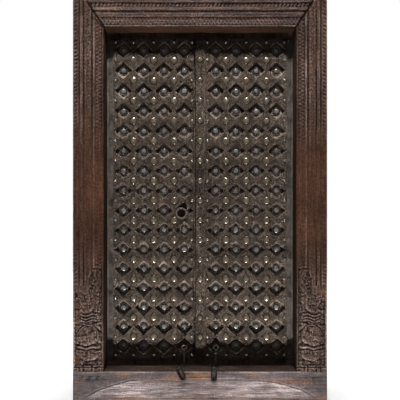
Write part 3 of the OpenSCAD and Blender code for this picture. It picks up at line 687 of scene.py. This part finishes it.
def pierced_lattice(name, hand, seed):
    """One lattice board, built pocket by pocket: its face, scribed line, pocket walls, back and borders."""
    rng = np.random.default_rng(seed)
    points, tones, faces = [], [], []
    half, steps, knife_slip = 6, 12, 1.4
    along = np.linspace(0, 1, steps + 1)
    face_at = np.array([0.0, 0.07, 0.15, 0.28, 0.34, 0.40, 0.7, 1.0])
    face_sink = np.array([2.4, 0.6, 0.0, 0.0, 0.9, 0.0, 0.0, 0.0])
    face_rub = np.array([0.5, 0.6, 0.4, 0.2, 0.0, 0.22, 0.16, 0.1])
    face_open = np.array([0.9, 1.0, 1.0, 0.85, 0.3, 0.75, 0.65, 0.6])
    wall_sink, wall_in = np.array([face_sink[0], 8.0, 14.0, board]), np.array([0.0, 0.5, 0.9, 1.4])
    wall_open, wall_rub = np.array([1.0, 1.0, 0.9, 0.7]), np.array([0.5, 0.4, 0.3, 0.2])
    tip_offsets = np.array([(pocket_half_x, 0), (0, pocket_half_z), (-pocket_half_x, 0), (0, -pocket_half_z)])

    def add_grid(place, sink, tone):
        x, z = place[..., 0], place[..., 1]
        numbers = sum(map(len, points)) + np.arange(x.size).reshape(x.shape)
        points.append(np.stack([x, lattice_front + sink, z], -1).reshape(-1, 3))
        tones.append(tone.reshape(-1, 3))
        faces.append(grid_faces(numbers))

    for i, k in np.ndindex(pocket_columns, pocket_rows):
        middle = np.array([hand * column_x(i), row_z(k)])
        at_collar = hand < 0 and (i, k) == collar_pocket
        near = leaf_inner[hand] if i == pocket_columns - 1 else column_x(i) - column_step / 2
        sides = (hand * near, hand * (column_x(i) + column_step / 2))
        bottom = field_low if k == 0 else row_z(k - 0.5)
        top = field_high if k == last_row else row_z(k + 0.5)
        tips = middle + tip_offsets + rng.uniform(-knife_slip, knife_slip, (4, 2))
        for sx, sz in ((1, 1), (1, -1), (-1, 1), (-1, -1)):
            start, end = tips[1 - sx], tips[2 - sz]
            edge = start + (end - start) * along[:, None]
            if at_collar:
                away = edge - collar_at
                reach = np.hypot(away[:, 0], away[:, 1])[:, None]
                round_edge = collar_at + away * collar_hole / np.maximum(reach, 1e-6)
                edge = np.where(reach < collar_hole, round_edge, edge)
            wide, high = max(sides) if sx > 0 else min(sides), top if sz > 0 else bottom
            up_side = np.stack([np.full(steps + 1, wide), middle[1] + (high - middle[1]) * 2 * along], -1)
            over_end = np.stack([wide + (middle[0] - wide) * (2 * along - 1), np.full(steps + 1, high)], -1)
            rim = np.where(along[:, None] <= 0.5, up_side, over_end)
            face = edge + (rim - edge) * face_at[:, None, None]
            x, z = face[..., 0], face[..., 1]
            hewn = 0.55 * uneven(x, z, 26, seed) + 0.35 * uneven(x, z, 7, seed + 1)
            sink = np.maximum(face_sink[:, None] + hewn + 0.2, 0)
            openness = np.clip(face_open[:, None] - 0.35 * hewn, 0, 1)
            rub = np.clip(face_rub[:, None] * (0.7 + 0.6 * uneven(x, z, 30, seed + 2)), 0, 1)
            second = np.clip(0.4 + 0.6 * uneven(x, z, 75, seed + 3), 0, 1)
            if hand < 0:
                stain = soft_hump(x, collar_at[0], 46) * ease(z, 420, 560) * ease(z, 1040, 990)
                openness *= 1 - 0.75 * stain * (0.7 + 0.5 * uneven(x, z, 24, 99))
                # Painted shade darkens the left board along the joint between the leaves.
                openness *= 1 - 0.9 * ease(x, -43, -36)
                rub *= 1 - 0.8 * stain
            add_grid(face, sink, np.stack([openness, rub, second], -1))
            inward = middle - edge
            inward /= np.hypot(inward[:, 0], inward[:, 1])[:, None]
            slant = 0 * wall_in if at_collar else wall_in
            wall = edge + inward * slant[:, None, None]
            wall_depth = np.repeat(wall_sink[:, None], steps + 1, 1)
            wall_depth[0] = sink[0]
            wall_tone = np.zeros(wall_depth.shape + (3,))
            wall_tone[..., 0] = wall_open[:, None]
            wall_tone[..., 1] = wall_rub[:, None]
            add_grid(wall, wall_depth, wall_tone)
            back = np.stack([wall[-1], rim])
            add_grid(back, np.full(back.shape[:2], board), np.full(back.shape[:2] + (3,), 0.1))
            at_side = (i == 0 and sx == hand) or (i == pocket_columns - 1 and sx == -hand)
            at_end = (k == 0 and sz < 0) or (k == last_row and sz > 0)
            for at_border, run in ((at_side, slice(0, half + 1)), (at_end, slice(half, steps + 1))):
                if at_border:
                    border_depth = np.stack([sink[-1, run], np.full(half + 1, board)])
                    add_grid(np.stack([rim[run]] * 2), border_depth, np.full((2, half + 1, 3), 0.3))
    return build(name, np.vstack(points), np.vstack(faces).tolist(), np.vstack(tones))


lattice_wood = timber_finish(
    "pierced_lattice_wood", hollow=(0.006, 0.005, 0.004), wood=(0.054, 0.0395, 0.031),
    rubbed=(0.18, 0.143, 0.118), second=(0.036, 0.025, 0.018), stretch=(75, 75, 20), bump=1.0, fleck=1.0)
for hand, side in ((-1, "left"), (1, "right")):
    lattice = pierced_lattice(side + "_lattice_board", hand, seed=90 + hand)
    fit(lattice, lattice_wood, "lattice_wood", side + "_leaf", side + "_lattice")


# Edge straps
# A flat iron strap runs down the outer edge of each lattice, smooth and grey under old oil.
# Small round nails fix it to the plank between the rows.

def nail_heads(name, places, outline, sides, seed, crown=0.8, ramp=2.0):
    """Forged nail heads on flat ground that faces the front: one outline of radius and height in millimetres,
    from the rim to the crown, turned for each place and then dented and tipped by hand."""
    rng = np.random.default_rng(seed)
    radius, height = np.array(outline, float).T
    angle = np.arange(sides) * 2 * math.pi / sides
    rings = len(radius)
    top = rings * sides
    size_slip, lean_slip, dent_slip, height_slip, foot_sink, tip_rise = 0.04, 0.05, 0.012, 0.06, 0.4, 1.01
    points, tones, faces = [], [], []
    for x, y, z in places:
        first = len(points) * (top + 1)
        grow, lean = 1 + rng.uniform(-size_slip, size_slip), rng.uniform(-lean_slip, lean_slip, 2)
        dents = enumerate(rng.normal(0, dent_slip, (3, 2)), 2)
        wobble = 1 + sum(a * np.cos(lobes * angle) + b * np.sin(lobes * angle) for lobes, (a, b) in dents)
        r = grow * radius[:, None] * wobble[None, :]
        dx, dz = r * np.cos(angle), r * np.sin(angle)
        tilt = (lean[0] * dx + lean[1] * dz) * (height[:, None] > 0.5)
        lift = height[:, None] * (1 + rng.uniform(-height_slip, height_slip)) + tilt
        turned = np.stack([x + dx, y - np.maximum(lift, -foot_sink), z + dz], -1).reshape(-1, 3)
        points.append(np.vstack([turned, [[x, y - height[-1] * tip_rise, z]]]))
        # The crown is painted bright as a highlight, falling to painted shade at the foot and where a washer
        # dips.
        painted_highlight_and_shade = np.repeat(np.clip(height / height.max(), 0, 1) ** ramp, sides) * crown * rng.uniform(0.6, 1.0)
        tones.append(np.stack([np.ones(top + 1), np.append(painted_highlight_and_shade, crown), np.zeros(top + 1)], -1))
        n = first + np.arange(top).reshape(rings, sides)
        beside = np.roll(n, -1, 1)
        faces += np.stack([n[:-1], beside[:-1], beside[1:], n[1:]], -1).reshape(-1, 4).tolist()
        faces += [[int(a), int(b), first + top] for a, b in zip(n[-1], beside[-1])]
        faces.append([int(a) for a in n[0][::-1]])
    return build(name, np.vstack(points), faces, np.vstack(tones), crisp=40)


strap_iron = iron_finish(
    "oiled_strap_iron", dark=(0.066, 0.058, 0.05), bright=(0.16, 0.145, 0.125), rust=(0.016, 0.013, 0.011),
    size=45, bump=0.9, metal=0.0, gloss=0.1)
strap_middle, strap_front = 14.5, reach_of("left_edge_strap")[0][1]
small_outline = [(5, -0.3), (5, 0.8), (4.2, 2.2), (2.6, 3.1), (1.2, 3.5)]
for hand, side in ((-1, "left"), (1, "right")):
    dress(side + "_edge_strap", strap_iron, soften=0.8)
    strap_x = hand * (field_outer + strap_middle)
    spots = [(strap_x, strap_front, row_z(k - 0.5)) for k in range(pocket_rows + 1)]
    heads = nail_heads(side + "_strap_nail_heads", spots, small_outline, sides=12, seed=120 + hand)
    fit(heads, strap_iron, "nail_iron", side + "_leaf", side + "_strap_nails")


# Recess nails
# In each pocket a low domed iron nail holds a washer that is dished up round it, driven into the plank.
# The iron is grey and smooth, painted brighter on the crown as a highlight, with a dark ring of painted shade
# where the washer dips.

nail_iron = iron_finish(
    "grey_nail_iron", dark=(0.006, 0.005, 0.005), bright=(0.22, 0.2, 0.187), rust=(0.07, 0.052, 0.042),
    size=120, bump=0.3, gloss=0.22)
recess_outline = [(23.0, -0.3), (22.8, 3.0), (22.0, 4.3), (20.8, 4.5), (19.6, 4.1), (18.6, 1.8), (17.8, 0.5),
                  (15.6, 0.4), (15.1, 2.8), (14.2, 4.6), (12.0, 6.0), (9.2, 7.0), (6.0, 7.7), (2.8, 8.0)]
eye_pocket = (3, 0)
for hand, side in ((-1, "left"), (1, "right")):
    without_nail = (eye_pocket, collar_pocket) if hand < 0 else (eye_pocket,)
    spots = [(hand * column_x(i), plank_front, row_z(k)) for i, k in np.ndindex(pocket_columns, pocket_rows)
             if (i, k) not in without_nail]
    heads = nail_heads(side + "_recess_nail_heads", spots, recess_outline, sides=20, seed=130 + hand,
                       crown=0.65, ramp=1.0)
    fit(heads, nail_iron, "nail_iron", side + "_leaf", side + "_recess_nails")


# Bosses and edge nails
# A broad low boss of dark brassy metal sits on each raised diamond, and small nails run round the edges.
# They are cast and hammered, each a little different, with a painted highlight on the crown and a dark foot
# of painted shade.

boss_metal = iron_finish(
    "dark_boss_metal", dark=(0.012, 0.008, 0.006), bright=(0.12, 0.094, 0.066), rust=(0.04, 0.026, 0.016),
    size=110, bump=0.35, gloss=0.75, tint=(1, 0.88, 0.7))
boss_outline = [(20.5, -0.3), (20.5, 0.9), (19.6, 2.3), (17.6, 3.9), (15.2, 5.3), (12.4, 6.6), (9.2, 7.7),
                (5.8, 8.5), (2.6, 8.9)]
# Edge nails get a paler colour so that their crowns show as painted highlights.
edge_iron = iron_finish(
    "edge_nail_iron_painted_highlight", dark=(0.05, 0.043, 0.036), bright=(0.2, 0.175, 0.15), rust=(0.07, 0.05, 0.035),
    size=120, bump=0.3, gloss=0.9)
edge_outline = [(8.5, -0.3), (8.5, 0.8), (7.6, 2.8), (5.6, 4.6), (3.2, 5.6), (1.4, 6.0)]
outer_margin, inner_margin, end_margin = 13, 11, 20
between_columns = [column_x(i + 0.5) for i in range(pocket_columns - 1)]
between_rows = [row_z(k + 0.5) for k in range(last_row)]
for hand, side in ((-1, "left"), (1, "right")):
    spots = [(hand * x, lattice_front, z) for x in between_columns for z in between_rows]
    heads = nail_heads(side + "_boss_heads", spots, boss_outline, sides=24, seed=140 + hand,
                       crown=0.9, ramp=3.0)
    fit(heads, boss_metal, "boss_metal", side + "_leaf", side + "_bosses")
    outer, inner = field_outer - outer_margin, leaf_inner[hand] + inner_margin
    spots = [(hand * x, lattice_front, z) for z in between_rows for x in (outer, inner)]
    spots += [(hand * x, lattice_front, z) for z in (field_low + end_margin, field_high - end_margin)
              for x in (outer, *between_columns, inner)]
    heads = nail_heads(side + "_edge_nail_heads", spots, edge_outline, sides=16, seed=150 + hand)
    fit(heads, edge_iron, "nail_iron", side + "_leaf", side + "_edge_nails")


# Lock collar
# A turned iron collar with its sleeve passes through the left lattice round the lock hole.
# It is brown-grey, with a rounded lip that hands and keys have smoothed.

collar_iron = iron_finish(
    "smoothed_collar_iron", dark=(0.095, 0.075, 0.061), bright=(0.14, 0.114, 0.096),
    rust=(0.03, 0.022, 0.018), size=150, bump=0.5)
dress("lock_collar", collar_iron, soften=1.2)


# Meeting strip and studs
# A thick strip on the right leaf laps the joint between the leaves, carved with crossed diagonal cuts.
# A domed stud of the same metal as the bosses is driven in level with each row of them.

(strip_left, strip_front, strip_low), (strip_right, strip_back, strip_high) = reach_of("meeting_strip")
strip_centre = (strip_left + strip_right) / 2
strip_columns, strip_rows, hatch_pitch, hatch_slope = 29, 600, 22, 1.2
strip_x, strip_z = np.meshgrid(np.linspace(strip_left, strip_right, strip_columns),
                               np.linspace(strip_low, strip_high, strip_rows))
strip_mid = strip_x - strip_centre
strip_off = np.abs(strip_mid)


def hatch(value):
    """A V cut repeated at the pitch of the crossed cuts, 1 at its foot."""
    turns = value / hatch_pitch
    return np.clip(1 - np.abs(turns - np.round(turns)) * hatch_pitch / 2.2, 0, 1)


strip_slant = strip_mid * hatch_slope
strip_depth = 2.2 * np.maximum(hatch(strip_z + strip_slant), hatch(strip_z - strip_slant))
strip_depth *= ease(strip_off, 23, 21)
strip_depth += 1.6 * ease(np.abs(strip_off - 22.5), 1.8, 0.6) + 2.2 * ease(strip_off, 25, 28)
strip_depth += 0.5 * uneven(strip_x, strip_z, 12, 161) + 0.35 * uneven(strip_x, strip_z, 5, 162) + 0.5
strip_depth = np.maximum(strip_depth, 0)
strip_proud = spread(strip_depth, 2) - strip_depth
strip_tone = np.clip(np.stack([
    0.62 + 0.3 * strip_proud + 0.7 * uneven(strip_x, strip_z, 44, 164),
    0.05 + 0.4 * strip_proud + 0.3 * uneven(strip_x, strip_z / 2, 60, 165),
    0.4 + 0.6 * uneven(strip_x, strip_z, 75, 163)], -1), 0, 1)
# Painted shade darkens the strip's left edge along the joint between the leaves.
strip_tone[..., :2] *= ease(strip_mid, -25, -17)[..., None]
strip_side = (0.45, 0.05, 0.3)
strip_face = np.stack([strip_x, strip_front + strip_depth, strip_z], -1)
meeting_strip = close_beam("meeting_strip_timber", strip_face, strip_tone, strip_back,
                           under=strip_side, end=strip_side, top=strip_side)
fit(meeting_strip, lattice_wood, "lattice_wood", "right_leaf", "meeting_strip")
stud_outline = [(17, -0.3), (17, 0.9), (16.2, 2.6), (14.4, 4.3), (11.6, 6.1), (8.4, 7.6), (5.2, 8.6),
                (2.3, 9.0)]
stud_sink = 0.9
stud_spots = [(strip_centre, strip_front + stud_sink, z) for z in between_rows]
studs = nail_heads("meeting_stud_heads", stud_spots, stud_outline, sides=20, seed=170, crown=1.0, ramp=3.0)
fit(studs, boss_metal, "boss_metal", "right_leaf", "meeting_studs")


# Chains and rings
# An eye in the lowest recess beside the joint carries a hanging link on each leaf, of rubbed round iron.
# Two staples on the front edge of the threshold carry long rings, bent from black round iron.

link_iron = iron_finish(
    "rubbed_link_iron", dark=(0.03, 0.026, 0.023), bright=(0.08, 0.07, 0.062), rust=(0.04, 0.024, 0.017),
    size=90, bump=0.5, metal=0.0, gloss=0.5)
for side in ("left", "right"):
    for part, iron in (("eye", link_iron), ("link", link_iron), ("staple", black_iron), ("ring", black_iron)):
        dress(side + "_" + part, iron)
    swell(side + "_ring", "scale_of_rust", 0.8)


# Studio
# A plain pale floor under a white surround, with one narrow lamp above the front and one below it.
# Two weak lamps reach under the head and onto the threshold, and soft ones light the sides and the back.
# The camera stands square to the front at mid height.

def studio_floor():
    """A round floor that glows paler further out, and neither shades the door nor sends light back to it."""
    mesh = bpy.data.meshes.new("studio_floor")
    work = bmesh.new()
    bmesh.ops.create_circle(work, cap_ends=True, segments=96, radius=5.0)
    work.to_mesh(mesh)
    work.free()
    ground = bpy.data.objects.new("studio_floor", mesh)
    bpy.context.scene.collection.objects.link(ground)
    paint = bpy.data.materials.new("pale_floor_paint")
    paint.use_nodes = True
    tree = paint.node_tree
    shader = tree.nodes["Principled BSDF"]
    shader.inputs["Base Color"].default_value = (0.82, 0.82, 0.82, 1)
    shader.inputs["Roughness"].default_value = 0.9
    shader.inputs["Specular IOR Level"].default_value = 0.0
    shader.inputs["Emission Strength"].default_value = 1.0
    away = lay(tree, "VectorMath", {0: lay(tree, "TexCoord").outputs["Object"]}, operation="LENGTH")
    glow = remap(tree, away.outputs["Value"], 0.7, 1.7, 0.42, 1.0)
    glow = reckon(tree, "MULTIPLY", glow, lay(tree, "LightPath").outputs["Is Camera Ray"])
    join(tree, shader, {"Emission Color": glow})
    mesh.materials.append(paint)
    ground.visible_shadow = False
    ground.visible_diffuse = False
    ground.visible_glossy = False


def lamp(name, spot, aim, size, watts, grid=180):
    """A softbox; a grid of fewer degrees keeps its light to a narrower band."""
    light = bpy.data.lights.new(name, "AREA")
    light.spread = math.radians(grid)
    light.shape, light.size, light.size_y, light.energy = "RECTANGLE", size[0], size[1], watts
    holder = bpy.data.objects.new(name, light)
    holder.location = spot
    way_x, way_y, way_z = (aim[n] - spot[n] for n in range(3))
    tip, turn = math.atan2(math.hypot(way_x, way_y), -way_z), math.atan2(way_x, -way_y) + math.pi
    holder.rotation_euler = (tip, 0, turn)
    bpy.context.scene.collection.objects.link(holder)


studio_floor()
lamp("upper_lamp", spot=(0.0, -1.6, 4.0), aim=(0.0, 0.0, 1.61), size=(1.9, 0.25), watts=8.6, grid=20)
lamp("lower_lamp", spot=(0.0, -1.6, -1.9), aim=(0.0, 0.0, 0.49), size=(1.9, 0.25), watts=9.2, grid=20)
lamp("lintel_lamp", spot=(0.0, -0.55, -0.6), aim=(0.0, -0.05, 1.95), size=(1.2, 0.2), watts=0.9, grid=22)
lamp("sill_lamp", spot=(0.0, -0.55, 2.7), aim=(0.0, -0.05, 0.15), size=(1.2, 0.2), watts=0.9, grid=22)
lamp("back_lamp", spot=(0.0, 3.2, 2.6), aim=(0.0, 0.0, 1.0), size=(2.5, 1.5), watts=72)
for hand, side in ((-1, "left"), (1, "right")):
    lamp(side + "_side_lamp", spot=(hand * 3.0, 0.5, 1.6), aim=(0.0, 0.0, 1.0), size=(1.5, 1.5), watts=50)
surround = bpy.data.worlds.new("white_surround")
bpy.context.scene.world = surround
surround.use_nodes = True
sky = surround.node_tree
ray = lay(sky, "LightPath").outputs
shown = reckon(sky, "MAXIMUM", ray["Is Camera Ray"], ray["Is Glossy Ray"])
shown = reckon(sky, "MAXIMUM", shown, ray["Is Transmission Ray"])
join(sky, sky.nodes["Background"], {"Strength": remap(sky, shown, 0.0, 1.0, 0.025, 1.0)})
sky.nodes["Background"].inputs["Color"].default_value = (1, 1, 1, 1)

view = bpy.data.cameras.new("front_view")
view.lens, view.sensor_width, view.sensor_fit = 45.6, 36.0, "HORIZONTAL"
viewer = bpy.data.objects.new("front_view", view)
viewer.location, viewer.rotation_euler = (0.0, -2.760, 1.05), (math.radians(90), 0, 0)
bpy.context.scene.collection.objects.link(viewer)
bpy.context.scene.camera = viewer
bpy.context.scene.view_settings.view_transform = "Standard"
